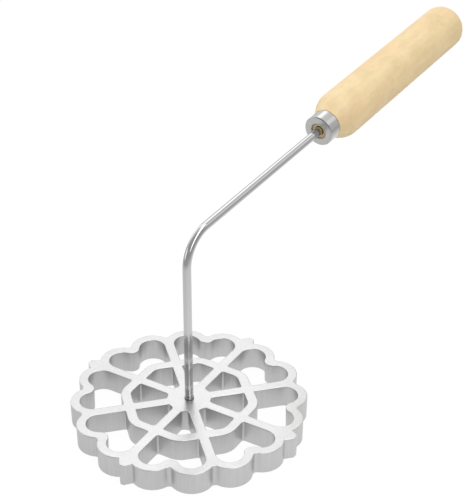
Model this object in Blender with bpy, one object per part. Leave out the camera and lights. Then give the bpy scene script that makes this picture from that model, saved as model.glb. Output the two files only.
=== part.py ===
# Rosette iron for frying batter: a cast aluminium mould on a bent steel rod with a turned
# wooden handle. The rod screws into the mould's hub. Metres, +Z up. The origin is the middle
# of the mould's flat underside, on the hub's axis, and the handle points along +X.

from math import asin, atan2, ceil, cos, hypot, pi, radians, sin, sqrt, tan

import bmesh
import bpy
from mathutils import Vector

# Fits between pieces
clearance = 0.0003

# Mould casting: outline sizes are those of its flat top face
mould_radius = 0.0500
mould_height = 0.0102
mould_turn = radians(4.8)
draft = radians(1.0)
edge_break = 0.00025
cell_count = 8
lobes_per_cell = 2
notch_depth = 0.0041
notch_radius = 0.0017
crown_wall = 0.0040
nose_wall = 0.0049
spoke_width = 0.0043
ring_apothem = 0.02335
ring_width = 0.0043
ring_corner_radius = 0.0050
cell_corner_radius = 0.0008
hub_radius = 0.0093
hub_corner_radius = 0.0014

# Lugs on the rim, one at the end of every second spoke
spokes_per_lug = 2
lug_width = 0.0046
lug_reach = 0.0013
lug_tip_radius = 0.0014
lug_root_radius = 0.0010

# Screw thread between rod and hub: a plain cylinder at the thread's crests
thread_diameter = 0.0040
thread_engaged = 0.0072
thread_above_hub = 0.0012
thread_runout = 0.0003
thread_end_chamfer = 0.0005
hole_extra_depth = 0.0006
hole_countersink = 0.0003
drill_point_half_angle = radians(59.0)

# Rod: a relief groove parts its shank from the thread
rod_diameter = 0.0036
relief_diameter = 0.0033
relief_width = 0.0004
bend_radius = 0.0141
handle_axis_height = 0.0768
handle_rise = radians(5.8)
tang_length = 0.0450
tang_end_chamfer = 0.0004

# Ferrule: a drawn cup with a mouth in its end
ferrule_distance = 0.0955
ferrule_diameter = 0.0138
ferrule_length = 0.0067
ferrule_sheet = 0.0007
ferrule_edge_radius = 0.0004
mouth_diameter = 0.0074
mouth_edge_radius = 0.0003

# Handle: turned wood, its tenon inside the ferrule. The shoulder is a cone, rounded where it
# meets the grip.
handle_diameter = 0.0215
butt_diameter = 0.0209
handle_length = 0.1091
shoulder_slope = radians(27.0)
shoulder_radius = 0.0115
butt_round_length = 0.0068
butt_flat_diameter = 0.0048
pilot_diameter = 0.0048
pilot_depth = 0.0030

# Fineness of the facets
arc_step = radians(11.25)
small_arc_step = radians(30.0)
small_radius = 0.0030
rod_sides = 24
bend_steps = 14
turned_sides = 48
shoulder_steps = 6
butt_steps = 9
edge_steps = 3
hole_sides = 32
sharp_angle = radians(32.0)
touching_distance = 0.000005

# A fillet takes at most this share of the room it lies in
fillet_share = 0.9


def clear_scene():
    for item in list(bpy.data.objects):
        bpy.data.objects.remove(item, do_unlink=True)
    for mesh in list(bpy.data.meshes):
        bpy.data.meshes.remove(mesh)


def make_material(name, color, metallic, roughness):
    material = bpy.data.materials.new(name)
    material.use_nodes = True
    shader = material.node_tree.nodes["Principled BSDF"]
    shader.inputs["Base Color"].default_value = (*color, 1.0)
    shader.inputs["Metallic"].default_value = metallic
    shader.inputs["Roughness"].default_value = roughness
    return material


def make_object(name, bm, material, parent):
    bmesh.ops.recalc_face_normals(bm, faces=bm.faces)
    mesh = bpy.data.meshes.new(name)
    bm.to_mesh(mesh)
    bm.free()
    mesh.shade_smooth()
    mesh.set_sharp_from_angle(angle=sharp_angle)
    mesh.materials.append(material)
    item = bpy.data.objects.new(name, mesh)
    bpy.context.scene.collection.objects.link(item)
    item.parent = parent
    return item


def make_empty(name, location, parent=None):
    empty = bpy.data.objects.new(name, None)
    empty.location = location
    empty.parent = parent
    empty.empty_display_size = mould_height
    bpy.context.scene.collection.objects.link(empty)
    return empty


# Outlines in plan. An outline is a closed chain of arcs (x, y, radius, start, end), joined by
# straight lines. An arc whose angle grows bulges out of the region and one whose angle falls
# bulges into it, so growing the region by a distance only changes the radii.

def polar(radius, angle):
    return Vector((radius * cos(angle), radius * sin(angle)))


def turned_arcs(arcs, angle):
    turned = []
    for x, y, radius, start, end in arcs:
        center = polar(hypot(x, y), atan2(y, x) + angle)
        turned.append((center.x, center.y, radius, start + angle, end + angle))
    return turned


def arc_points(arc, grow):
    x, y, radius, start, end = arc
    step = arc_step if radius > small_radius else small_arc_step
    count = max(1, ceil(abs(end - start) / step))
    reach = radius + grow if end > start else radius - grow
    return [Vector((x, y)) + polar(reach, start + (end - start) * i / count) for i in range(count + 1)]


def trace(arcs, grow):
    # Two arcs that touch share a point, which is kept once
    points = []
    for i, arc in enumerate(arcs):
        joint = arc_points(arcs[i - 1], 0.0)[-1] - arc_points(arc, 0.0)[0]
        touching = joint.length < touching_distance
        points += arc_points(arc, grow)[1 if touching else 0:]
    return points


cell_angle = 2.0 * pi / cell_count
lobe_angle = cell_angle / lobes_per_cell
half_cell = cell_angle / 2.0
half_lobe = lobe_angle / 2.0
half_spoke = spoke_width / 2.0

# The rim's lobes touch the notch fillets: their radius follows from the notch's depth
notch_point = mould_radius - notch_depth
notch_center = notch_point + notch_radius
lobe_radius = (notch_center ** 2 + mould_radius ** 2 - notch_radius ** 2
               - 2.0 * notch_center * mould_radius * cos(half_lobe)) / (
                   2.0 * (notch_radius + mould_radius - notch_center * cos(half_lobe)))
lobe_center = mould_radius - lobe_radius

# A pocket inside each lobe touches the side of its spoke, and a nose joins two pockets
crown = mould_radius - crown_wall
pocket_center = (crown + half_spoke) / (1.0 + sin(half_lobe))
pocket_radius = crown - pocket_center
nose_point = notch_point - nose_wall
nose_offset = nose_point - pocket_center * cos(half_lobe)
nose_radius = (nose_offset ** 2 + (pocket_center * sin(half_lobe)) ** 2 - pocket_radius ** 2) / (
    2.0 * (pocket_radius - nose_offset))
nose_center = nose_point + nose_radius

ring_corner_center = (ring_apothem - ring_corner_radius) / cos(half_cell)
ring_outer_apothem = ring_apothem + ring_width


def beside_spoke(along, aside, side):
    # A point given along and beside the spoke on one side (-1 or 1) of a cell's middle line
    return polar(hypot(along, aside), side * (half_cell - atan2(aside, along)))


def notch_arcs():
    # The plain notch, in a frame whose +X runs out along the spoke
    lobe = polar(lobe_center, half_lobe)
    lean = atan2(lobe.y, lobe.x - notch_center)
    return [(notch_center, 0.0, notch_radius, 2.0 * pi - lean, lean)]


def lug_arcs():
    # The notch filled by a lug, in the same frame
    half_width = lug_width / 2.0
    lobe = polar(lobe_center, half_lobe)
    root_y = half_width + lug_root_radius
    root_x = lobe.x + sqrt((lobe_radius + lug_root_radius) ** 2 - (lobe.y - root_y) ** 2)
    lean = atan2(lobe.y - root_y, lobe.x - root_x)
    tip_radius = min(lug_tip_radius, fillet_share * half_width)
    tip_x = mould_radius + lug_reach - tip_radius
    tip_y = half_width - tip_radius
    return [
        (root_x, -root_y, lug_root_radius, 2.0 * pi - lean, pi / 2.0),
        (tip_x, -tip_y, tip_radius, -pi / 2.0, 0.0),
        (tip_x, tip_y, tip_radius, 0.0, pi / 2.0),
        (root_x, root_y, lug_root_radius, 1.5 * pi, lean),
    ]


def rim_arcs():
    # The outside of the mould: a notch or a lug at each lobe boundary, then a lobe
    arcs = []
    notches = cell_count * lobes_per_cell
    for i in range(notches):
        on_lug = i % (lobes_per_cell * spokes_per_lug) == 0
        next_lug = (i + 1) % (lobes_per_cell * spokes_per_lug) == 0
        notch = turned_arcs(lug_arcs() if on_lug else notch_arcs(), i * lobe_angle)
        after = turned_arcs(lug_arcs() if next_lug else notch_arcs(), (i + 1) * lobe_angle)
        arcs += notch
        lobe = polar(lobe_center, (i + 0.5) * lobe_angle)
        start = notch[-1][4] - pi
        end = after[0][3] - pi
        while end < start:
            end += 2.0 * pi
        while end > start + 2.0 * pi:
            end -= 2.0 * pi
        arcs.append((lobe.x, lobe.y, lobe_radius, start, end))
    return arcs


def outer_cell_arcs():
    # A cell between two spokes, the ring and the rim, its middle line along +X
    corner_along = ring_outer_apothem + cell_corner_radius
    corner_aside = half_spoke + cell_corner_radius
    low = beside_spoke(corner_along, corner_aside, -1)
    high = beside_spoke(corner_along, corner_aside, 1)
    arcs = [(low.x, low.y, cell_corner_radius, pi - half_cell, 1.5 * pi - half_cell)]
    pocket = polar(pocket_center, half_lobe)
    lean = atan2(pocket.y, nose_center - pocket.x)
    for i in range(lobes_per_cell):
        middle = (i + 0.5) * lobe_angle - half_cell
        center = polar(pocket_center, middle)
        from_spoke = -pi / 2.0 - half_cell
        to_spoke = pi / 2.0 + half_cell
        start = from_spoke if i == 0 else middle - half_lobe - lean
        end = to_spoke if i == lobes_per_cell - 1 else middle + half_lobe + lean
        arcs.append((center.x, center.y, pocket_radius, start, end))
        if i < lobes_per_cell - 1:
            nose = polar(nose_center, middle + half_lobe)
            facing = middle + half_lobe + pi
            arcs.append((nose.x, nose.y, nose_radius, facing + lean, facing - lean))
    arcs.append((high.x, high.y, cell_corner_radius, pi / 2.0 + half_cell, pi + half_cell))
    arcs.append((ring_corner_center, 0.0, ring_corner_radius + ring_width, half_cell, -half_cell))
    return arcs


def inner_cell_arcs():
    # A cell between two spokes, the hub and the ring, its middle line along +X
    room = (hub_radius * sin(half_cell) - half_spoke) / (1.0 - sin(half_cell))
    hub_corner = min(hub_corner_radius, fillet_share * room)
    aside = half_spoke + hub_corner
    along = sqrt((hub_radius + hub_corner) ** 2 - aside ** 2)
    lean = half_cell - asin(aside / (hub_radius + hub_corner))
    near_low = beside_spoke(along, aside, -1)
    near_high = beside_spoke(along, aside, 1)
    corner_along = ring_apothem - cell_corner_radius
    corner_aside = half_spoke + cell_corner_radius
    far_low = beside_spoke(corner_along, corner_aside, -1)
    far_high = beside_spoke(corner_along, corner_aside, 1)
    return [
        (near_low.x, near_low.y, hub_corner, pi - lean, 1.5 * pi - half_cell),
        (far_low.x, far_low.y, cell_corner_radius, 1.5 * pi - half_cell, 2.0 * pi - half_cell),
        (ring_corner_center, 0.0, ring_corner_radius, -half_cell, half_cell),
        (far_high.x, far_high.y, cell_corner_radius, half_cell, pi / 2.0 + half_cell),
        (near_high.x, near_high.y, hub_corner, pi / 2.0 + half_cell, pi + lean),
        (0.0, 0.0, hub_radius, lean, -lean),
    ]


# Meshes

def add_loop(bm, points):
    verts = [bm.verts.new(point) for point in points]
    for i, vert in enumerate(verts):
        bm.edges.new((vert, verts[(i + 1) % len(verts)]))
    return verts


def join_loops(bm, low, high):
    for i, vert in enumerate(low):
        j = (i + 1) % len(low)
        bm.faces.new((vert, low[j], high[j], high[i]))


def close_loop(bm, verts, tip):
    point = bm.verts.new(tip)
    for i, vert in enumerate(verts):
        bm.faces.new((vert, verts[(i + 1) % len(verts)], point))


def loop_edges(bm, verts):
    return [bm.edges.get((vert, verts[(i + 1) % len(verts)])) for i, vert in enumerate(verts)]


def circle(radius, z, sides):
    return [Vector((*polar(radius, 2.0 * pi * i / sides), z)) for i in range(sides)]


def build_mould(material, parent):
    # Walls thin towards the underside, so that the fried batter slips off
    bm = bmesh.new()
    taper = mould_height * tan(draft)
    levels = [
        (0.0, taper + edge_break),
        (edge_break, taper),
        (mould_height - edge_break, 0.0),
        (mould_height, edge_break),
    ]
    outlines = [(rim_arcs(), -1)]
    for i in range(cell_count):
        middle = (i + 0.5) * cell_angle
        outlines.append((turned_arcs(outer_cell_arcs(), middle), 1))
        outlines.append((turned_arcs(inner_cell_arcs(), middle), 1))
    bottom_edges, top_edges = [], []
    for arcs, sense in outlines:
        loops = []
        for z, thinner in levels:
            loops.append(add_loop(bm, [(*point, z) for point in trace(arcs, sense * thinner)]))
        for low, high in zip(loops, loops[1:]):
            join_loops(bm, low, high)
        bottom_edges += loop_edges(bm, loops[0])
        top_edges += loop_edges(bm, loops[-1])

    # The blind tapped hole in the hub
    hole_radius = thread_diameter / 2.0 + clearance
    hole_floor = mould_height - thread_engaged - hole_extra_depth
    mouth = add_loop(bm, circle(hole_radius + hole_countersink, mould_height, hole_sides))
    neck = add_loop(bm, circle(hole_radius, mould_height - hole_countersink, hole_sides))
    floor = add_loop(bm, circle(hole_radius, hole_floor, hole_sides))
    join_loops(bm, neck, mouth)
    join_loops(bm, floor, neck)
    close_loop(bm, floor, (0.0, 0.0, hole_floor - hole_radius / tan(drill_point_half_angle)))
    top_edges += loop_edges(bm, mouth)

    bmesh.ops.triangle_fill(bm, use_beauty=True, use_dissolve=False, edges=bottom_edges)
    bmesh.ops.triangle_fill(bm, use_beauty=True, use_dissolve=False, edges=top_edges)
    mould = make_object("rosette_mould", bm, material, parent)
    mould.rotation_euler = (0.0, 0.0, mould_turn)
    return mould


def build_rod(material, parent):
    # Sections along the rod's middle line: a point, the line's slope in the XZ plane, a radius.
    # The rod's own origin is on the hub's axis at the top of the mould.
    crest = thread_diameter / 2.0
    shank = rod_diameter / 2.0
    relief = relief_diameter / 2.0
    relief_start = thread_above_hub + thread_runout
    turn = pi / 2.0 - handle_rise
    tangent = bend_radius * tan(turn / 2.0)
    bend_start = handle_axis_height - tangent
    tang_end = ferrule_distance + tang_length
    along_handle = Vector((cos(handle_rise), 0.0, sin(handle_rise)))
    corner = Vector((0.0, 0.0, handle_axis_height))
    sections = [
        ((0.0, 0.0, -thread_engaged), pi / 2.0, crest - thread_end_chamfer),
        ((0.0, 0.0, thread_end_chamfer - thread_engaged), pi / 2.0, crest),
        ((0.0, 0.0, thread_above_hub), pi / 2.0, crest),
        ((0.0, 0.0, relief_start), pi / 2.0, relief),
        ((0.0, 0.0, relief_start + relief_width), pi / 2.0, relief),
        ((0.0, 0.0, relief_start + relief_width + thread_runout), pi / 2.0, shank),
    ]
    for i in range(bend_steps + 1):
        angle = turn * i / bend_steps
        point = (bend_radius * (1.0 - cos(angle)), 0.0, bend_start + bend_radius * sin(angle))
        sections.append((point, pi / 2.0 - angle, shank))
    sections.append((corner + along_handle * (tang_end - tang_end_chamfer), handle_rise, shank))
    sections.append((corner + along_handle * tang_end, handle_rise, shank - tang_end_chamfer))

    bm = bmesh.new()
    loops = []
    for point, slope, radius in sections:
        across = Vector((sin(slope), 0.0, -cos(slope)))
        ring = []
        for i in range(rod_sides):
            angle = 2.0 * pi * i / rod_sides
            offset = across * (radius * cos(angle)) + Vector((0.0, radius * sin(angle), 0.0))
            ring.append(Vector(point) + offset)
        loops.append(add_loop(bm, ring))
    for low, high in zip(loops, loops[1:]):
        join_loops(bm, low, high)
    bm.faces.new(loops[0])
    bm.faces.new(loops[-1])
    return make_object("rod", bm, material, parent)


def build_turned(name, profile, material, parent):
    # A closed profile of (z, radius) turned about Z. A radius of zero is a point on the axis.
    bm = bmesh.new()
    loops = []
    for z, radius in profile:
        if radius:
            loops.append(add_loop(bm, circle(radius, z, turned_sides)))
        else:
            loops.append(Vector((0.0, 0.0, z)))
    last = len(profile) - 1
    for i, low in enumerate(loops):
        high = loops[0] if i == last else loops[i + 1]
        if isinstance(low, Vector) and isinstance(high, Vector):
            continue
        if isinstance(low, Vector):
            close_loop(bm, high, low)
        elif isinstance(high, Vector):
            close_loop(bm, low, high)
        else:
            join_loops(bm, low, high)
    item = make_object(name, bm, material, parent)
    item.location = Vector((0.0, 0.0, handle_axis_height)) + Vector(
        (cos(handle_rise), 0.0, sin(handle_rise))) * ferrule_distance
    item.rotation_euler = (0.0, pi / 2.0 - handle_rise, 0.0)
    return item


def quarter(z, radius, z_reach, radius_reach, start, steps):
    # A quarter of an ellipse about (z, radius), from the angle start
    points = []
    for i in range(steps + 1):
        angle = start + pi / 2.0 * i / steps
        points.append((z - z_reach * cos(angle), radius + radius_reach * sin(angle)))
    return points


def build_ferrule(material, parent):
    # z runs along the handle from the ferrule's end face
    outer = ferrule_diameter / 2.0
    mouth = mouth_diameter / 2.0
    edge = ferrule_edge_radius
    lip = min(mouth_edge_radius, fillet_share * ferrule_sheet)
    profile = quarter(edge, outer - edge, edge, edge, 0.0, edge_steps)
    profile.append((ferrule_length, outer))
    profile.append((ferrule_length, outer - ferrule_sheet))
    profile.append((ferrule_sheet, outer - ferrule_sheet))
    profile.append((ferrule_sheet, mouth))
    profile += quarter(lip, mouth + lip, lip, lip, -pi / 2.0, edge_steps)
    return build_turned("ferrule", profile, material, parent)


def build_handle(material, parent):
    tenon = ferrule_diameter / 2.0 - ferrule_sheet - clearance
    tenon_end = ferrule_sheet + clearance
    shoulder = ferrule_length + clearance
    flare = ferrule_diameter / 2.0
    widest = handle_diameter / 2.0
    butt = butt_diameter / 2.0
    end = ferrule_length + handle_length
    bore = rod_diameter / 2.0 + clearance
    bore_end = tang_length + clearance
    pilot = pilot_diameter / 2.0
    profile = [
        (bore_end, 0.0),
        (bore_end, bore),
        (tenon_end + pilot_depth, bore),
        (tenon_end + pilot_depth, pilot),
        (tenon_end, pilot),
        (tenon_end, tenon),
        (shoulder, tenon),
    ]
    swell = widest - flare
    room = swell / sin(shoulder_slope) / tan(shoulder_slope / 2.0)
    rounding = min(shoulder_radius, fillet_share * room)
    grip_start = shoulder + swell / tan(shoulder_slope) + rounding * tan(shoulder_slope / 2.0)
    profile.append((shoulder, flare))
    for i in range(shoulder_steps + 1):
        slope = shoulder_slope * (1.0 - i / shoulder_steps)
        profile.append((grip_start - rounding * sin(slope), widest - rounding * (1.0 - cos(slope))))
    butt_flat = butt_flat_diameter / 2.0
    round_start = end - butt_round_length
    fall = butt - butt_flat
    profile += quarter(round_start, butt_flat, butt_round_length, fall, pi / 2.0, butt_steps)
    profile.append((end, 0.0))
    return build_turned("handle", profile, material, parent)


def main():
    clear_scene()
    aluminium = make_material("cast_aluminium", (0.80, 0.80, 0.81), 1.0, 0.38)
    steel = make_material("rod_steel", (0.74, 0.74, 0.75), 1.0, 0.16)
    plated = make_material("plated_ferrule", (0.82, 0.82, 0.84), 1.0, 0.14)
    wood = make_material("turned_wood", (0.78, 0.60, 0.36), 0.0, 0.55)
    mould_seat = make_empty("mould_seat", (0.0, 0.0, 0.0))
    screw_axis = make_empty("screw_axis", (0.0, 0.0, mould_height))
    build_mould(aluminium, mould_seat)
    build_rod(steel, screw_axis)
    build_ferrule(plated, screw_axis)
    build_handle(wood, screw_axis)


main()
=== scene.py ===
# Rosette iron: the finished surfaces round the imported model, the studio and the camera.
# Sizes are in metres and angles in degrees. The hub's axis is Z, and the handle points along +X.
from math import asin, atan2, ceil, cos, degrees, hypot, pi, radians, sin, sqrt, tan

import bpy
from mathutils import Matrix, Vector


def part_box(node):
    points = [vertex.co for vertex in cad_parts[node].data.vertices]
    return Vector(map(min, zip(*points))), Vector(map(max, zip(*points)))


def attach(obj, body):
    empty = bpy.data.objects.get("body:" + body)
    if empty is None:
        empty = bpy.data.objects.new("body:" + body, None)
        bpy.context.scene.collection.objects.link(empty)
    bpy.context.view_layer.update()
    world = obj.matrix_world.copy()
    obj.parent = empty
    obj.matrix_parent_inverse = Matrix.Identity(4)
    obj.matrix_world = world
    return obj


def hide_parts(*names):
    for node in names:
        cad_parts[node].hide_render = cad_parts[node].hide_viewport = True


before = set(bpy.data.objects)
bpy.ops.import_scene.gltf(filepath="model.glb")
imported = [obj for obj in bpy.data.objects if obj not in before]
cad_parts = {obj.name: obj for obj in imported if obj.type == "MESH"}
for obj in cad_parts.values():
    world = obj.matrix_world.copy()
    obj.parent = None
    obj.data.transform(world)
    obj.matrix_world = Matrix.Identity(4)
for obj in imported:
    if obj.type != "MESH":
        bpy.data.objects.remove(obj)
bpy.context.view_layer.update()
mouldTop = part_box("rosette_mould")[1].z
print("frame loaded:", ", ".join(sorted(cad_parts)))


# Picking and finishing

closeTo = 1e-6  # a vertex this near a place counts as there
weldDistance = 0.000002
outlineWeld = 0.000004


def deselectAll():
    bpy.ops.object.select_all(action="DESELECT")


def editMode(selectMode="VERT"):
    bpy.ops.object.mode_set(mode="EDIT")
    bpy.ops.mesh.select_mode(type=selectMode)


def objectMode():
    bpy.ops.object.mode_set(mode="OBJECT")


def pickVertices(item, test):
    # leaves edit mode, marks the vertices that pass the test and goes back
    editMode()
    objectMode()
    mesh = item.data
    for part in (mesh.vertices, mesh.edges, mesh.polygons):
        part.foreach_set("select", [False] * len(part))
    for vertex in mesh.vertices:
        vertex.select = test(vertex.co)
    editMode()


def finishPiece(item, body, material, smoothAngle):
    editMode()
    bpy.ops.mesh.select_all(action="SELECT")
    bpy.ops.mesh.remove_doubles(threshold=weldDistance)
    bpy.ops.mesh.normals_make_consistent(inside=False)
    objectMode()
    bpy.ops.object.transform_apply(location=True, rotation=True, scale=True)
    bpy.ops.object.shade_smooth_by_angle(angle=radians(smoothAngle))
    item.data.materials.clear()
    item.data.materials.append(material)
    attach(item, body)
    deselectAll()


def pickOpenRims(item, level):
    # the open edges whose two ends lie at this height
    editMode("EDGE")
    bpy.ops.mesh.select_all(action="DESELECT")
    bpy.ops.mesh.select_non_manifold(extend=False, use_wire=False, use_multi_face=False,
                                     use_non_contiguous=False, use_verts=False)
    objectMode()
    vertices = item.data.vertices
    for vertex in vertices:
        vertex.select = False
    for edge in item.data.edges:
        ends = [vertices[end] for end in edge.vertices]
        edge.select = edge.select and all(abs(end.co.z - level) < closeTo for end in ends)
        if edge.select:
            for end in ends:
                end.select = True
    editMode("EDGE")


def pickedVertices(item):
    item.update_from_editmode()
    return [vertex for vertex in item.data.vertices if vertex.select]


def spinSelected(steps, angle, center, axis):
    # the operator counts its angle the other way round
    bpy.ops.mesh.spin(steps=steps, angle=-angle, center=center, axis=axis)


def turnSelected(angle, center):
    # this one too, about an upright axis
    bpy.ops.transform.rotate(value=-angle, orient_axis="Z", center_override=center)


def arcStations(height, radius, heightReach, radiusReach, start, steps):
    # a quarter of an ellipse as (height, radius) stations, from the angle start
    angles = [radians(start) + pi / 2 * i / steps for i in range(steps + 1)]
    return [(height - heightReach * cos(a), radius + radiusReach * sin(a)) for a in angles]


def turnPiece(name, stations, sides, shell=False):
    # a circle is extruded and scaled from station to station along Z
    height, radius = stations[0]
    filling = "NOTHING" if shell else "NGON"
    bpy.ops.mesh.primitive_circle_add(vertices=sides, radius=radius, fill_type=filling,
                                      location=(0, 0, height))
    item = bpy.context.object
    item.name = item.data.name = name
    bpy.ops.object.transform_apply(location=True, rotation=True, scale=True)
    editMode("EDGE" if shell else "FACE")
    bpy.ops.mesh.select_all(action="SELECT")
    drawOn(stations[1:], height, radius)
    if shell:
        ends = (stations[0], stations[-1])
        pickVertices(item, lambda co: any(
            abs(co.z - end[0]) < closeTo and abs(hypot(co.x, co.y) - end[1]) < closeTo for end in ends))
        bpy.ops.mesh.bridge_edge_loops()
    objectMode()
    return item


def drawOn(stations, height, radius):
    # carries the selected round section on from (height, radius)
    for nextHeight, nextRadius in stations:
        move = {"value": (0, 0, nextHeight - height)}
        bpy.ops.mesh.extrude_region_move(TRANSFORM_OT_translate=move)
        grow = nextRadius / radius
        bpy.ops.transform.resize(value=(grow, grow, 1), center_override=(0, 0, nextHeight))
        height, radius = nextHeight, nextRadius


# Shader maths: a socket that takes part in Python expressions

class Socket:
    def __init__(self, tree, output):
        self.tree = tree
        self.output = output

    def math(self, operation, *others):
        made = self.tree.nodes.new("ShaderNodeMath")
        made.operation = operation
        for place, value in zip(made.inputs, (self, *others)):
            plug(self.tree, place, value)
        return Socket(self.tree, made.outputs[0])

    def __add__(self, other):
        return self.math("ADD", other)

    def __sub__(self, other):
        return self.math("SUBTRACT", other)

    def __mul__(self, other):
        return self.math("MULTIPLY", other)

    def __truediv__(self, other):
        return self.math("DIVIDE", other)

    def __pow__(self, other):
        return self.math("POWER", other)

    def __rsub__(self, other):
        return (self * -1.0) + other

    def __rtruediv__(self, other):
        return (self ** -1.0) * other


def plug(tree, place, value):
    if isinstance(value, Socket):
        tree.links.new(value.output, place)
    elif hasattr(place.default_value, "__len__") and len(place.default_value) == 4:
        place.default_value = (*value[:3], 1.0)
    else:
        place.default_value = value


class Shader:
    def __init__(self, owner):
        owner.use_nodes = True
        self.tree = owner.node_tree
        self.tree.nodes.clear()

    def node(self, kind, settings, values, output=0):
        # settings go first, because they decide which sockets the node has
        made = self.tree.nodes.new(kind)
        for key, value in settings.items():
            setattr(made, key, value)
        for key, value in values.items():
            plug(self.tree, made.inputs[key], value)
        return Socket(self.tree, made.outputs[output])

    def noise(self, vector, scale, detail, roughness=0.5):
        values = {"Vector": vector, "Scale": scale, "Detail": detail, "Roughness": roughness}
        return self.node("ShaderNodeTexNoise", {}, values, "Fac")

    def stretched(self, vector, scale, detail, roughness=0.5):
        place = self.node("ShaderNodeMapping", {}, {"Vector": vector, "Scale": scale})
        return self.noise(place, 1.0, detail, roughness)

    def ramp(self, factor, stops):
        made = self.node("ShaderNodeValToRGB", {}, {"Fac": factor}, "Color")
        for stop, (place, tone) in zip(made.output.node.color_ramp.elements, stops):
            stop.position = place
            stop.color = (tone, tone, tone, 1.0)
        return made

    def mixColor(self, factor, low, high):
        # sockets 0, 6 and 7 are a colour mix's factor and its two colours
        return self.node("ShaderNodeMix", {"data_type": "RGBA"}, {0: factor, 6: low, 7: high}, 2)

    def multiply(self, factor, tone, other):
        settings = {"data_type": "RGBA", "blend_type": "MULTIPLY"}
        return self.node("ShaderNodeMix", settings, {0: factor, 6: tone, 7: other}, 2)

    def placed(self, location=(0, 0, 0), rotation=(0, 0, 0), scale=(1, 1, 1)):
        here = self.node("ShaderNodeTexCoord", {}, {}, "Object")
        values = {"Vector": here, "Location": location, "Rotation": rotation, "Scale": scale}
        return self.node("ShaderNodeMapping", {}, values)

    def parts(self, vector):
        made = self.node("ShaderNodeSeparateXYZ", {}, {"Vector": vector}).output.node
        return [Socket(self.tree, output) for output in made.outputs]

    def bump(self, height, distance):
        return self.node("ShaderNodeBump", {}, {"Height": height, "Strength": 1.0, "Distance": distance})

    def principled(self, **values):
        named = {key.replace("_", " "): value for key, value in values.items()}
        return self.node("ShaderNodeBsdfPrincipled", {}, named)

    def output(self, surface, kind="ShaderNodeOutputMaterial"):
        made = self.tree.nodes.new(kind)
        self.tree.links.new(surface.output, made.inputs["Surface"])


def newMaterial(name):
    material = bpy.data.materials.new(name)
    return material, Shader(material)


# Materials. Each Noise is a scale or stretch, a detail and, where it isn't a half, a roughness.

castAluminium = {
    "wallColor": (0.602, 0.602, 0.604), "topColor": (0.66, 0.66, 0.662), "edgeBelowTop": 0.0004,
    "wallRoughness": 0.40, "topRoughness": 0.335,
    "grainNoise": (1500.0, 3.0, 0.6), "grainDepth": 0.00002, "cloudNoise": (75.0, 2.0),
    "speckNoise": (1000.0, 2.0), "drawNoise": ((1300.0, 1300.0, 45.0), 3.0),
    "millScale": (900.0, 60.0, 900.0), "millDetail": 3.0, "millDepth": 0.0000015, "millTurn": 25.0,
    "millSheen": 0.1, "cloudShare": 0.4, "fineShare": 0.6,
    "wallShades": [(0.35, 0.94), (0.65, 1.03)], "topShades": [(0.34, 0.91), (0.66, 1.0)],
}


def makeCastAluminium():
    s = castAluminium
    material, shader = newMaterial("cast_aluminium")
    here = shader.placed()
    height = shader.parts(here)[2]
    onTop = height.math("GREATER_THAN", mouldTop - s["edgeBelowTop"])
    grain = shader.noise(here, *s["grainNoise"])
    cloud = shader.noise(here, *s["cloudNoise"])
    specks = shader.noise(here, *s["speckNoise"])
    streaks = shader.stretched(here, *s["drawNoise"])
    milled = shader.placed(rotation=(0, 0, radians(s["millTurn"])), scale=s["millScale"])
    marks = shader.noise(milled, 1.0, s["millDetail"])
    patches = cloud * s["cloudShare"] + (specks * onTop + streaks * (1 - onTop)) * s["fineShare"]
    wallShades = shader.ramp(patches, s["wallShades"])
    topShades = shader.ramp(patches, s["topShades"])
    color = shader.mixColor(onTop, s["wallColor"], s["topColor"])
    tone = shader.multiply(1.0, color, shader.mixColor(onTop, wallShades, topShades))
    roughness = onTop * (s["topRoughness"] - s["wallRoughness"]) + s["wallRoughness"]
    relief = grain * (1 - onTop) * (s["grainDepth"] / s["millDepth"]) + marks * onTop
    shader.output(shader.principled(
        Base_Color=tone, Metallic=1.0, Roughness=roughness + (marks - 0.5) * s["millSheen"],
        Normal=shader.bump(relief, s["millDepth"])))
    return material


rodSteel = {
    "color": (0.60, 0.60, 0.605), "footShadeColor": (0.36, 0.36, 0.365), "bandTop": 0.00175,
    "roughness": 0.085, "smearNoise": (250.0, 3.0), "smearSheen": 0.04,
    "drawNoise": (2500.0, 2.0), "drawDepth": 0.0000004,
}


def makeRodSteel():
    s = rodSteel
    material, shader = newMaterial("rod_steel")
    here = shader.placed()
    # painted shade: the rod is darker over the thread, the crests' band and the relief groove, where it
    # meets the hub
    onThread = shader.parts(here)[2].math("LESS_THAN", mouldTop + s["bandTop"])
    smear = shader.noise(here, *s["smearNoise"])
    fine = shader.noise(here, *s["drawNoise"])
    shader.output(shader.principled(
        Base_Color=shader.mixColor(onThread, s["color"], s["footShadeColor"]), Metallic=1.0,
        Roughness=(smear - 0.5) * s["smearSheen"] + s["roughness"],
        Normal=shader.bump(fine, s["drawDepth"])))
    return material


platedSteel = {
    "color": (0.612, 0.610, 0.606), "bandRoughness": 0.21, "faceRoughness": 0.36, "faceDepth": 0.0004,
    "ringScale": 9000.0, "ringNoise": (1200.0, 2.0), "ringDepth": 0.000002,
    "paintedEdgeReflection": (0.45, 0.45, 0.46), "darkReflectionTurn": 25.0, "darkReflectionStops": [(0.70, 0.15), (0.93, 1.0)],
}


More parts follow.
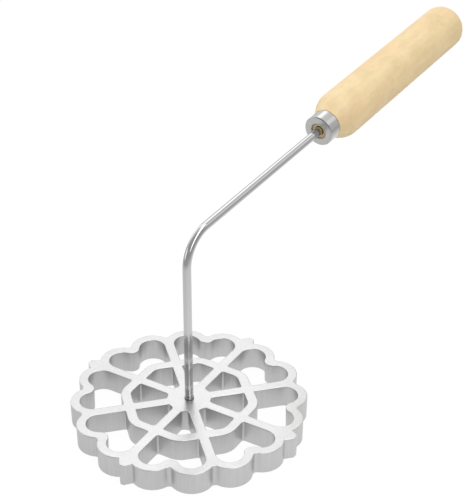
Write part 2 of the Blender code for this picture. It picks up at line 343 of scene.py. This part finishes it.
def makePlatedSteel():
    s = platedSteel
    material, shader = newMaterial("plated_ferrule")
    along = handleCoordinates(shader)
    x, y, z = shader.parts(along)
    onFace = x.math("LESS_THAN", s["faceDepth"])
    fromAxis = (y * y + z * z) ** 0.5
    rings = (fromAxis * s["ringScale"]).math("SINE") + shader.noise(along, *s["ringNoise"])
    roughness = onFace * (s["faceRoughness"] - s["bandRoughness"]) + s["bandRoughness"]
    # painted dark reflection: the plating's colour is darker along the rounded edge of the cup's face, and
    # most so on one side
    darkestTurn = radians(s["darkReflectionTurn"])
    aside = (z * cos(darkestTurn) - y * sin(darkestTurn)) / fromAxis
    paintedEdgeDark = onFace * fromAxis.math("GREATER_THAN", ferrule["radius"] - ferrule["edge"])
    paintedEdgeDark = paintedEdgeDark * shader.ramp(aside, s["darkReflectionStops"])
    shader.output(shader.principled(
        Base_Color=shader.multiply(paintedEdgeDark, s["color"], s["paintedEdgeReflection"]), Metallic=1.0, Roughness=roughness,
        Normal=shader.bump(rings * onFace, s["ringDepth"])))
    return material


turnedWood = {
    "pale": (0.880, 0.690, 0.395), "deep": (0.720, 0.530, 0.270), "warm": (0.880, 0.625, 0.360),
    "fleck": (0.620, 0.430, 0.220), "endGrainAndShade": (0.80, 0.84, 0.92), "endDepth": 0.0030,
    "blotchNoise": ((85.0, 150.0, 150.0), 3.0, 0.6), "blotchMiddle": 0.38, "blotchShare": 1.9,
    "fibreNoise": ((45.0, 1100.0, 1100.0), 4.0, 0.6), "fibreShare": 0.28,
    "warmNoise": ((75.0, 130.0, 130.0), 2.0, 0.6), "warmStops": [(0.48, 0.0), (0.68, 0.6)],
    "fleckNoise": ((260.0, 2600.0, 2600.0), 2.0, 0.6), "fleckStops": [(0.60, 0.0), (0.72, 1.0)],
    "fleckShare": 0.30,
    "pith": (0.009, 0.021), "ringWidth": 0.0034, "ringWander": 2.4, "ringDrift": 9.0, "ringShare": 0.10,
    "roughness": 0.52, "fibreSheen": 0.12, "reliefDepth": 0.00003, "fibreRelief": 0.6, "fleckRelief": 0.4,
}


def makeTurnedWood():
    s = turnedWood
    material, shader = newMaterial("turned_wood")
    along = handleCoordinates(shader)
    x, y, z = shader.parts(along)
    blotch = shader.stretched(along, *s["blotchNoise"])
    warm = shader.stretched(along, *s["warmNoise"])
    fibre = shader.stretched(along, *s["fibreNoise"])
    fleck = shader.stretched(along, *s["fleckNoise"])
    fromPith = ((y - s["pith"][0]) ** 2 + (z - s["pith"][1]) ** 2) ** 0.5
    rings = fromPith / s["ringWidth"] + blotch * s["ringWander"] + x * s["ringDrift"]
    rings = (rings * (2 * pi)).math("SINE") * 0.5 + 0.5
    depth = rings * s["ringShare"] + (blotch - s["blotchMiddle"]) * s["blotchShare"]
    depth = depth + (fibre - 0.5) * s["fibreShare"]
    tone = shader.mixColor(depth.math("MAXIMUM", 0.0).math("MINIMUM", 1.0), s["pale"], s["deep"])
    tone = shader.mixColor(shader.ramp(warm, s["warmStops"]), tone, s["warm"])
    tone = shader.mixColor(shader.ramp(fleck, s["fleckStops"]) * s["fleckShare"], tone, s["fleck"])
    # painted shade, partly end grain: the wood inside the ferrule's mouth is darker and greyer, as the
    # recess lies in shade
    onEnd = x.math("LESS_THAN", s["endDepth"])
    tone = shader.multiply(onEnd, tone, s["endGrainAndShade"])
    relief = (fibre * s["fibreRelief"] + fleck * s["fleckRelief"]) * (1 - onEnd)
    shader.output(shader.principled(
        Base_Color=tone, Roughness=fibre * s["fibreSheen"] + s["roughness"],
        Normal=shader.bump(relief, s["reliefDepth"])))
    return material


# The handle's axis: its height over the mould's top at the hub, its rise, and how far along it the
# ferrule's end face lies

handleAxis = {"height": 0.0768, "rise": 5.8, "ferruleFrom": 0.0955}


def handlePoint(along):
    rise = radians(handleAxis["rise"])
    return Vector((cos(rise) * along, 0, mouldTop + handleAxis["height"] + sin(rise) * along))


def handleCoordinates(shader):
    # X runs along the handle from the ferrule's end face
    rise = radians(handleAxis["rise"])
    start = handlePoint(handleAxis["ferruleFrom"])
    turned = Vector((cos(rise) * start.x + sin(rise) * start.z, 0,
                     cos(rise) * start.z - sin(rise) * start.x))
    return shader.placed(location=-turned, rotation=(0, rise, 0))


def placeOnHandle(item):
    item.rotation_euler = (0, pi / 2 - radians(handleAxis["rise"]), 0)
    item.location = handlePoint(handleAxis["ferruleFrom"])


# Mould

mould = {
    "radius": 0.0500, "turn": 4.8, "draft": 1.0, "cells": 8, "lobesPerCell": 2,
    "notchDepth": 0.0041, "notchRadius": 0.0017, "crownWall": 0.0040, "noseWall": 0.0049,
    "spokeWidth": 0.0043, "ringApothem": 0.02335, "ringWidth": 0.0043, "ringCorner": 0.0050,
    "cellCorner": 0.0008, "hubRadius": 0.0093, "hubCorner": 0.0014,
    "spokesPerLug": 2, "lugReach": 0.0013, "lugTip": 0.0012, "lugRoot": 0.0005,
    # each lug's two sides: how steep it is, and how far its tip's arc stands to that side
    "lugSides": [
        ((68.0, 0.0010), (45.0, 0.0001)),
        ((62.0, 0.0002), (50.0, 0.0008)),
        ((55.0, -0.0001), (50.0, 0.0007)),
        ((46.0, 0.0004), (66.0, 0.0010)),
    ],
    "edgeRadius": 0.00028, "edgeSteps": 3, "supportGap": 0.00015,
    "stepAngle": 5.0, "smallStepAngle": 12.0, "smallRadius": 0.0012, "leastSteps": 2,
    "holeRadius": 0.00202, "holeBevel": 0.00005, "holeDepth": 0.0078, "holeSides": 48,
    "drillPointShare": 1 / 2, "drillTipShare": 1 / 100, "smoothAngle": 35.0,
}


def polar(radius, angle):
    return Vector((radius * cos(angle), radius * sin(angle)))


def turnArcs(arcs, angle):
    turned = []
    for x, y, radius, start, end in arcs:
        middle = polar(hypot(x, y), atan2(y, x) + angle)
        turned.append((middle.x, middle.y, radius, start + angle, end + angle))
    return turned


def lugSide(steepness, aside, lobe, lobeMiddle):
    # from the tip down one side to the root, which touches the next lobe
    m = mould
    slope = radians(steepness)
    tip = Vector((m["radius"] + m["lugReach"] - m["lugTip"], aside))
    fromLobe = tip + polar(m["lugTip"] + m["lugRoot"], slope) - lobeMiddle
    down = polar(1, slope + pi / 2)
    halfWay = fromLobe.dot(down)
    run = -halfWay - sqrt(halfWay ** 2 - fromLobe.length_squared + (lobe + m["lugRoot"]) ** 2)
    root = lobeMiddle + fromLobe + down * run
    rootLean = atan2(lobeMiddle.y - root.y, lobeMiddle.x - root.x)
    return [(tip.x, tip.y, m["lugTip"], 0, slope), (root.x, root.y, m["lugRoot"], pi + slope, rootLean)]


def mirrorArcs(arcs):
    return [(x, -y, radius, -end, -start) for x, y, radius, start, end in reversed(arcs)]


def rimOutline():
    # lobes, with a notch between neighbours or a lug at every second spoke
    m = mould
    half = pi / (m["cells"] * m["lobesPerCell"])
    notchMiddle = m["radius"] - m["notchDepth"] + m["notchRadius"]
    lobe = (notchMiddle ** 2 + m["radius"] ** 2 - m["notchRadius"] ** 2
            - 2 * notchMiddle * m["radius"] * cos(half)) / (
                2 * (m["notchRadius"] + m["radius"] - notchMiddle * cos(half)))
    lobeMiddle = m["radius"] - lobe
    side = polar(lobeMiddle, half)
    lean = atan2(side.y, side.x - notchMiddle)
    notch = [(notchMiddle, 0, m["notchRadius"], 2 * pi - lean, lean)]
    between = [notch] * (m["cells"] * m["lobesPerCell"])
    between[::m["lobesPerCell"] * m["spokesPerLug"]] = [
        mirrorArcs(lugSide(*low, lobe, side)) + lugSide(*high, lobe, side) for low, high in m["lugSides"]]
    arcs = []
    for i, here in enumerate(between):
        here = turnArcs(here, 2 * half * i)
        after = turnArcs(between[(i + 1) % len(between)], 2 * half * (i + 1))
        middle = polar(lobeMiddle, 2 * half * (i + 0.5))
        start = here[-1][4] - pi
        span = (after[0][3] - pi - start) % (2 * pi)
        arcs += here + [(middle.x, middle.y, lobe, start, start + span)]
    return arcs


def besideSpoke(along, aside, side):
    halfCell = pi / mould["cells"]
    return polar(hypot(along, aside), side * (halfCell - atan2(aside, along)))


def outerCell():
    # between two spokes, the ring and the rim, its middle line along +X
    m = mould
    halfCell = pi / m["cells"]
    halfLobe = halfCell / m["lobesPerCell"]
    halfSpoke = m["spokeWidth"] / 2
    crown = m["radius"] - m["crownWall"]
    pocketMiddle = (crown + halfSpoke) / (1 + sin(halfLobe))
    pocket = crown - pocketMiddle
    nosePoint = m["radius"] - m["notchDepth"] - m["noseWall"]
    noseOffset = nosePoint - pocketMiddle * cos(halfLobe)
    noseAside = pocketMiddle * sin(halfLobe)
    nose = (noseOffset ** 2 + noseAside ** 2 - pocket ** 2) / (2 * (pocket - noseOffset))
    corner = m["cellCorner"]
    low, high = [besideSpoke(m["ringApothem"] + m["ringWidth"] + corner, halfSpoke + corner, side)
                 for side in (-1, 1)]
    lean = atan2(noseAside, nosePoint + nose - pocketMiddle * cos(halfLobe))
    arcs = [(low.x, low.y, corner, pi - halfCell, 1.5 * pi - halfCell)]
    for i in range(m["lobesPerCell"]):
        middle = (2 * i + 1) * halfLobe - halfCell
        place = polar(pocketMiddle, middle)
        first, last = i == 0, i == m["lobesPerCell"] - 1
        start = -pi / 2 - halfCell if first else middle - halfLobe - lean
        end = pi / 2 + halfCell if last else middle + halfLobe + lean
        arcs.append((place.x, place.y, pocket, start, end))
        if not last:
            tip = polar(nosePoint + nose, middle + halfLobe)
            facing = middle + halfLobe + pi
            arcs.append((tip.x, tip.y, nose, facing + lean, facing - lean))
    ringMiddle = (m["ringApothem"] - m["ringCorner"]) / cos(halfCell)
    arcs.append((high.x, high.y, corner, pi / 2 + halfCell, pi + halfCell))
    arcs.append((ringMiddle, 0, m["ringCorner"] + m["ringWidth"], halfCell, -halfCell))
    return arcs


def innerCell():
    # between two spokes, the hub and the ring, its middle line along +X
    m = mould
    halfCell = pi / m["cells"]
    corner, hubCorner = m["cellCorner"], m["hubCorner"]
    aside = m["spokeWidth"] / 2 + hubCorner
    reach = m["hubRadius"] + hubCorner
    lean = halfCell - asin(aside / reach)
    nearLow, nearHigh = [besideSpoke(sqrt(reach ** 2 - aside ** 2), aside, side) for side in (-1, 1)]
    farLow, farHigh = [besideSpoke(m["ringApothem"] - corner, m["spokeWidth"] / 2 + corner, side)
                       for side in (-1, 1)]
    ringMiddle = (m["ringApothem"] - m["ringCorner"]) / cos(halfCell)
    return [
        (nearLow.x, nearLow.y, hubCorner, pi - lean, 1.5 * pi - halfCell),
        (farLow.x, farLow.y, corner, 1.5 * pi - halfCell, 2 * pi - halfCell),
        (ringMiddle, 0, m["ringCorner"], -halfCell, halfCell),
        (farHigh.x, farHigh.y, corner, halfCell, pi / 2 + halfCell),
        (nearHigh.x, nearHigh.y, hubCorner, pi / 2 + halfCell, pi + lean),
        (0, 0, m["hubRadius"], lean, -lean),
    ]


def drawOutline(arcs):
    # a vertex is spun round each arc's middle, then extruded to where the next arc starts
    bpy.ops.mesh.primitive_plane_add(size=mould["cellCorner"])
    item = bpy.context.object
    editMode()
    bpy.ops.mesh.merge(type="CENTER")
    here = Vector((0, 0))
    for number, (x, y, radius, start, end) in enumerate(arcs):
        middle = Vector((x, y))
        step = (middle + polar(radius, start) - here).to_3d()
        if number == 0:
            bpy.ops.transform.translate(value=step)
        elif step.length > closeTo:
            bpy.ops.mesh.extrude_vertices_move(TRANSFORM_OT_translate={"value": step})
        stepAngle = mould["smallStepAngle" if radius < mould["smallRadius"] else "stepAngle"]
        steps = max(mould["leastSteps"], ceil(degrees(abs(end - start)) / stepAngle))
        spinSelected(steps, end - start, (x, y, 0), (0, 0, 1))
        here = middle + polar(radius, end)
    bpy.ops.mesh.select_all(action="SELECT")
    bpy.ops.mesh.remove_doubles(threshold=outlineWeld)
    start = Vector(arcs[0][:2]) + polar(*arcs[0][2:4])
    if (here - start).length > outlineWeld:
        ends = (here.to_3d(), start.to_3d())
        pickVertices(item, lambda co: min((co - end).length for end in ends) < closeTo)
        bpy.ops.mesh.edge_face_add()
    objectMode()
    return item


def wallLevels():
    # height, how much thinner the wall is there: rounded edges, with a flat strip beside each
    m = mould
    taper = mouldTop * tan(radians(m["draft"]))
    edge, gap, steps = m["edgeRadius"], m["supportGap"], m["edgeSteps"]
    turns = [pi / 2 * i / steps for i in range(steps + 1)]
    levels = [(0, taper + edge + gap)]
    levels += [(edge * (1 - cos(a)), taper + edge * (1 - sin(a))) for a in turns]
    levels.append((edge + gap, taper))
    levels.append((mouldTop - edge - gap, 0))
    levels += [(mouldTop - edge * (1 - sin(a)), edge * (1 - cos(a))) for a in turns]
    levels.append((mouldTop, edge + gap))
    return levels


def makeWall(arcs, sense):
    # the outline is drawn up into a wall, and each level is then set in or out
    item = drawOutline(arcs)
    levels = wallLevels()
    editMode("EDGE")
    bpy.ops.mesh.select_all(action="SELECT")
    spacing = mould["radius"]
    for level in levels[1:]:
        bpy.ops.mesh.extrude_region_move(TRANSFORM_OT_translate={"value": (0, 0, spacing)})
    bpy.ops.mesh.select_all(action="SELECT")
    bpy.ops.mesh.normals_make_consistent(inside=False)
    for i, (height, thinner) in enumerate(levels):
        # the levels stand well apart until each is set in or out and flattened to its height
        pickVertices(item, lambda co: abs(co.z - i * spacing) < spacing / 3)
        bpy.ops.transform.shrink_fatten(value=sense * thinner, use_even_offset=True)
        bpy.ops.transform.resize(value=(1, 1, 0), center_override=(0, 0, height))
    objectMode()
    return item


def makeHole():
    # the tapped hole's wall, from its mouth down to the drill's point
    m = mould
    stations = [
        (mouldTop, m["holeRadius"] + m["holeBevel"]),
        (mouldTop - m["holeBevel"], m["holeRadius"]),
        (mouldTop - m["holeDepth"], m["holeRadius"]),
        (mouldTop - m["holeDepth"] - m["holeRadius"] * m["drillPointShare"],
         m["holeRadius"] * m["drillTipShare"]),
    ]
    return turnPiece("hole", stations, m["holeSides"])


def makeMould(material):
    m = mould
    walls = [makeWall(rimOutline(), -1)]
    for i in range(m["cells"]):
        middle = (2 * i + 1) * pi / m["cells"]
        walls.append(makeWall(turnArcs(outerCell(), middle), 1))
        walls.append(makeWall(turnArcs(innerCell(), middle), 1))
    print("mould walls drawn:", len(walls))
    hole = makeHole()
    pickVertices(hole, lambda co: co.z > mouldTop - closeTo)
    bpy.ops.mesh.delete(type="ONLY_FACE")
    objectMode()
    deselectAll()
    for wall in walls:
        wall.select_set(True)
    hole.select_set(True)
    item = walls[0]
    bpy.context.view_layer.objects.active = item
    bpy.ops.object.join()
    item.name = item.data.name = "mould_casting"
    # the underside and the top are filled in between the walls' rims
    for level in (0, mouldTop):
        pickOpenRims(item, level)
        bpy.ops.mesh.fill(use_beauty=True)
    objectMode()
    item.rotation_euler = (0, 0, radians(m["turn"]))
    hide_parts("rosette_mould")
    finishPiece(item, "mould", material, m["smoothAngle"])


# Rod

rod = {
    "radius": 0.0018, "bendRadius": 0.0141, "sides": 48, "bendSteps": 48,
    "threadCrest": 0.0020, "threadRoot": 0.00157, "pitch": 0.0007, "stepsPerTurn": 24, "turns": 9,
    "crestShare": 1 / 8, "rootShare": 1 / 4,
    "engaged": 0.0072, "endChamfer": 0.0005, "tang": 0.0450, "tangChamfer": 0.0004,
    # height above the hub and radius: the crests' band, the relief groove and the shank
    "foot": [(0.0, 0.00190), (0.00012, 0.00196), (0.00095, 0.00196), (0.00108, 0.00190),
             (0.00118, 0.00172), (0.00126, 0.00162), (0.00155, 0.00162), (0.00165, 0.00168),
             (0.00178, 0.00178), (0.0019, 0.0018), (0.0040, 0.0018)],
    "smoothAngle": 40.0,
}


def threadSection(item, height):
    # the round section gets a ridge on one side: flat root, flank, flat crest, flank
    r = rod
    rootEnd = 0.5 - r["rootShare"] / 2
    crestEnd = r["crestShare"] / 2
    for i in range(r["sides"]):
        fromCrest = abs(i / r["sides"] - 0.5)
        ridge = min(1.0, max(0.0, (rootEnd - fromCrest) / (rootEnd - crestEnd)))
        if ridge > 0:
            corner = polar(r["threadRoot"], 2 * pi * i / r["sides"]).to_3d() + Vector((0, 0, height))
            pickVertices(item, lambda co: (co - corner).length < closeTo)
            grow = 1 + ridge * (r["threadCrest"] / r["threadRoot"] - 1)
            bpy.ops.transform.resize(value=(grow, grow, 1), center_override=(0, 0, height))


def makeRod(material):
    r = rod
    threadStart = r["endChamfer"] - r["engaged"]
    item = turnPiece("bent_rod", [(-r["engaged"], r["threadRoot"] - r["endChamfer"] / 2),
                                  (threadStart, r["threadRoot"])], r["sides"])
    threadSection(item, threadStart)
    pickVertices(item, lambda co: co.z > threadStart - closeTo)
    bpy.ops.mesh.select_mode(type="FACE")
    height = threadStart
    step = r["pitch"] / r["stepsPerTurn"]
    for i in range(r["turns"] * r["stepsPerTurn"]):
        # the section turns as it is drawn up, so its ridge winds into a right-hand thread
        height += step
        bpy.ops.mesh.extrude_region_move(TRANSFORM_OT_translate={"value": (0, 0, step)})
        turnSelected(2 * pi / r["stepsPerTurn"], (0, 0, height))
    # level with the mould's top, the section is made round again
    bpy.ops.mesh.extrude_region_move(TRANSFORM_OT_translate={"value": (0, 0, -height)})
    bpy.ops.transform.tosphere(value=1, center_override=(0, 0, 0))
    roundRadius = max(hypot(vertex.co.x, vertex.co.y) for vertex in pickedVertices(item))
    drawOn(r["foot"], 0, roundRadius)
    rise = radians(handleAxis["rise"])
    turn = pi / 2 - rise
    tangent = r["bendRadius"] * tan(turn / 2)
    bendStart = handleAxis["height"] - tangent
    drawOn([(bendStart, r["radius"])], *r["foot"][-1])
    spinSelected(r["bendSteps"], turn, (r["bendRadius"], 0, bendStart), (0, 1, 0))
    run = Vector((cos(rise), 0, sin(rise)))
    length = handleAxis["ferruleFrom"] + r["tang"] - tangent
    bpy.ops.mesh.extrude_region_move(TRANSFORM_OT_translate={"value": run * (length - r["tangChamfer"])})
    bpy.ops.mesh.extrude_region_move(TRANSFORM_OT_translate={"value": run * r["tangChamfer"]})
    shrink = 1 - r["tangChamfer"] / r["radius"]
    tip = Vector((0, 0, handleAxis["height"])) + run * (handleAxis["ferruleFrom"] + r["tang"])
    bpy.ops.transform.resize(value=(shrink, shrink, shrink), center_override=tip)
    objectMode()
    item.location = (0, 0, mouldTop)
    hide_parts("rod")
    finishPiece(item, "handle_assembly", material, r["smoothAngle"])


# Ferrule

ferrule = {
    "radius": 0.0069, "length": 0.0067, "sheet": 0.0007, "edge": 0.0004, "mouth": 0.0037,
    "lip": 0.0003, "sides": 96, "edgeSteps": 6, "edgeRoom": 1.4, "rimEdge": 0.00015, "smoothAngle": 35.0,
}


def makeFerrule(material):
    f = ferrule
    inner = f["radius"] - f["sheet"]
    # the face and the band keep a flat strip beside the rounded edge
    besideEdge = f["edge"] * f["edgeRoom"]
    stations = arcStations(f["lip"], f["mouth"] + f["lip"], f["lip"], f["lip"], -90, f["edgeSteps"])
    stations.append((0, f["radius"] - besideEdge))
    stations += arcStations(f["edge"], f["radius"] - f["edge"], f["edge"], f["edge"], 0, f["edgeSteps"])
    stations += [
        (besideEdge, f["radius"]), (f["length"] - f["rimEdge"] * 2, f["radius"]),
        (f["length"] - f["rimEdge"], f["radius"]), (f["length"], f["radius"] - f["rimEdge"]),
        (f["length"], inner), (f["sheet"], inner), (f["sheet"], f["mouth"]),
    ]
    item = turnPiece("ferrule_cup", stations, f["sides"], shell=True)
    placeOnHandle(item)
    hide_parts("ferrule")
    finishPiece(item, "handle_assembly", material, f["smoothAngle"])


# Handle

handle = {
    "radius": 0.01075, "buttRadius": 0.01045, "length": 0.1091,
    "shoulderSlope": 27.0, "shoulderRadius": 0.0115,
    "buttRound": 0.0068, "buttFlat": 0.0024, "pilot": 0.0022, "pilotDepth": 0.0006,
    "fit": 0.0003, "sides": 96, "shoulderSteps": 16, "buttSteps": 18, "gripSteps": 12, "smoothAngle": 35.0,
}


def makeHandle(material):
    h, f, r = handle, ferrule, rod
    tenon = f["radius"] - f["sheet"] - h["fit"]
    tenonEnd = f["sheet"] + h["fit"]
    shoulder = f["length"] + h["fit"]
    end = f["length"] + h["length"]
    bore = r["radius"] + h["fit"]
    swell = h["radius"] - f["radius"]
    # the bore widens at the tenon's end, which shows round the rod in the ferrule's mouth
    pilotEnd = tenonEnd + h["pilotDepth"]
    stations = [
        (r["tang"] + h["fit"], bore), (pilotEnd, bore), (pilotEnd, h["pilot"]), (tenonEnd, h["pilot"]),
        (tenonEnd, tenon), (shoulder, tenon), (shoulder, f["radius"]),
    ]
    # the shoulder is a cone, rounded where it meets the grip
    steepest = radians(h["shoulderSlope"])
    gripStart = shoulder + swell / tan(steepest) + h["shoulderRadius"] * tan(steepest / 2)
    for i in range(h["shoulderSteps"] + 1):
        slope = steepest * (1 - i / h["shoulderSteps"])
        stations.append((gripStart - h["shoulderRadius"] * sin(slope),
                         h["radius"] - h["shoulderRadius"] * (1 - cos(slope))))
    gripEnd = end - h["buttRound"]
    for i in range(1, h["gripSteps"]):
        share = i / h["gripSteps"]
        stations.append((gripStart + (gripEnd - gripStart) * share,
                         h["radius"] + (h["buttRadius"] - h["radius"]) * share))
    stations += arcStations(gripEnd, h["buttFlat"], h["buttRound"], h["buttRadius"] - h["buttFlat"], 90,
                            h["buttSteps"])
    stations.append((end, h["buttFlat"] / 2))
    item = turnPiece("turned_handle", stations, h["sides"])
    placeOnHandle(item)
    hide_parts("handle")
    finishPiece(item, "handle_assembly", material, h["smoothAngle"])


# Camera, floor, lights

cameraView = {
    "place": (-0.4001, -0.3112, 0.3945), "aim": (0.69154, 0.49898, -0.52227), "focalPixels": 1500.0,
    "imageSize": (465, 496), "sensor": 36.0, "clipStart": 0.01,
}


def makeCamera():
    c = cameraView
    turned = Vector(c["aim"]).to_track_quat("-Z", "Y").to_euler()
    bpy.ops.object.camera_add(location=c["place"], rotation=turned)
    camera = bpy.context.object
    camera.data.sensor_width = c["sensor"]
    camera.data.lens = c["focalPixels"] / max(c["imageSize"]) * c["sensor"]
    camera.data.clip_start = c["clipStart"]
    bpy.context.scene.camera = camera


studio = {
    "floorSize": 8.0, "floorColor": (0.72, 0.72, 0.72), "floorWhite": 0.93, "whiteStrength": 1.03,
    "glossyNear": 1.02, "glossyFar": 0.50, "glossyReach": 0.30, "behindShare": 0.7,
    "leftDim": 0.98, "leftSlope": 1.6, "leftLeast": 0.88,
    "shadeShare": 0.92, "shadeFrom": 0.044, "shadeTo": 0.060,
    "dark": 0.43, "bright": 0.88, "darkFrom": -0.35, "brightFrom": 0.75,
}


def ahead():
    # the camera's heading on the floor
    aim = Vector(cameraView["aim"])
    aim.z = 0
    return aim.normalized()


def toRight():
    return ahead().cross(Vector((0, 0, 1)))


def dot(shader, vector, other):
    return shader.node("ShaderNodeVectorMath", {"operation": "DOT_PRODUCT"}, {0: vector, 1: other}, "Value")


def rayIs(shader, name):
    return shader.node("ShaderNodeLightPath", {}, {}, "Is " + name + " Ray")


def makeFloor():
    s = studio
    bpy.ops.mesh.primitive_plane_add(size=s["floorSize"])
    floor = bpy.context.object
    floor.name = floor.data.name = "studio_floor"
    material, shader = newMaterial("studio_floor")
    here = shader.placed()
    x, y = shader.parts(here)[:2]
    # the camera sees it white, but mirrored in the metal it fades away from the mould, with painted shade
    # under the mould and towards the left
    forward = dot(shader, here, ahead())
    fromHub = (x * x + y * y) ** 0.5
    distance = fromHub - forward.math("MAXIMUM", 0.0) * s["behindShare"]
    reflected = s["glossyNear"] / ((distance / s["glossyReach"]) ** 2 + 1.0)
    side = (dot(shader, here, toRight()) * s["leftSlope"] + s["leftDim"]).math("MAXIMUM", s["leftLeast"])
    shade = shader.node("ShaderNodeMapRange", {"interpolation_type": "SMOOTHSTEP"}, {
        "Value": fromHub, "From Min": s["shadeFrom"], "From Max": s["shadeTo"], "To Min": s["shadeShare"]})
    reflected = reflected.math("MAXIMUM", s["glossyFar"]) * side.math("MINIMUM", 1.0) * shade
    glossy = rayIs(shader, "Glossy")
    strength = glossy * reflected + (1 - glossy) * s["whiteStrength"]
    white = shader.node("ShaderNodeEmission", {}, {"Color": strength, "Strength": 1.0})
    matte = shader.node("ShaderNodeBsdfDiffuse", {}, {"Color": s["floorColor"]})
    seen = rayIs(shader, "Camera").math("MAXIMUM", glossy).math("MAXIMUM", rayIs(shader, "Transmission"))
    shader.output(shader.node("ShaderNodeMixShader", {}, {0: seen * s["floorWhite"], 1: matte, 2: white}))
    floor.data.materials.append(material)
    deselectAll()


def makeWorld():
    s = studio
    world = bpy.data.worlds.new("studio")
    bpy.context.scene.world = world
    shader = Shader(world)
    # the camera sees it white, and everything else sees it darker behind the camera than ahead
    direction = shader.node("ShaderNodeTexCoord", {}, {}, "Generated")
    level = shader.node("ShaderNodeMapRange", {"interpolation_type": "SMOOTHSTEP"}, {
        "Value": dot(shader, direction, ahead()), "From Min": s["darkFrom"], "From Max": s["brightFrom"],
        "To Min": s["dark"], "To Max": s["bright"]})
    camera = rayIs(shader, "Camera")
    strength = level * (1 - camera) + camera
    back = shader.node("ShaderNodeBackground", {}, {"Color": strength, "Strength": 1.0})
    shader.output(back, "ShaderNodeOutputWorld")


# place and aim: metres to the camera's right, ahead of it and up, from the middle of the mould
# level: how bright the face is; glossy or diffuse False: it isn't mirrored, or is only mirrored
softboxes = {
    "front_box": {"place": (-0.02, 1.15, 1.13), "turn": 0.0, "size": (0.58, 1.45), "level": 0.88},
    "back_box": {"place": (0.60, -1.38, 1.13), "turn": 4.0, "size": (0.74, 3.30), "level": 1.89,
                 "glossy": False},
    "back_strip": {"place": (0.48, -1.40, 1.11), "turn": 4.0, "size": (0.60, 3.50), "level": 1.95,
                   "diffuse": False},
    "left_window": {"place": (-0.86, 1.10, 0.50), "aim": (0, 0, 0.05), "size": (0.90, 0.98), "level": 0.62},
    "left_card": {"place": (-1.44, -0.26, 0.31), "aim": (0, 0, 0.05), "size": (0.90, 0.75), "level": 0.85},
    "right_card": {"place": (1.12, 0.31, 0.92), "aim": (0.05, 0, 0.09), "size": (0.70, 0.42), "level": 0.38},
    "left_box": {"place": (-0.95, -0.33, 1.06), "aim": (0, 0, 0.09), "size": (0.80, 0.80), "level": 1.90,
                 "glossy": False},
}


def studioPoint(right, forward, up):
    return toRight() * right + ahead() * forward + Vector((0, 0, up))


def makeSoftboxes():
    heading = atan2(ahead().y, ahead().x) - pi / 2
    for name, box in softboxes.items():
        # a box either faces down, turned in plan, or faces its aim
        place = studioPoint(*box["place"])
        if "turn" in box:
            turned = (0, 0, heading + radians(box["turn"]))
        else:
            turned = (studioPoint(*box["aim"]) - place).to_track_quat("-Z", "Y").to_euler()
        bpy.ops.object.light_add(type="AREA", location=place, rotation=turned)
        lamp = bpy.context.object
        lamp.name = name
        lamp.data.shape = "RECTANGLE"
        lamp.data.size, lamp.data.size_y = box["size"]
        lamp.data.energy = pi * lamp.data.size * lamp.data.size_y * box["level"]
        lamp.visible_glossy = box.get("glossy", True)
        lamp.visible_diffuse = box.get("diffuse", True)
    deselectAll()


deselectAll()
makeCamera()
makeMould(makeCastAluminium())
print("mould done")
makeRod(makeRodSteel())
print("rod done")
makeFerrule(makePlatedSteel())
makeHandle(makeTurnedWood())
print("ferrule and handle done")
makeFloor()
makeWorld()
makeSoftboxes()
bpy.context.scene.view_settings.view_transform = "Standard"
print("studio done")
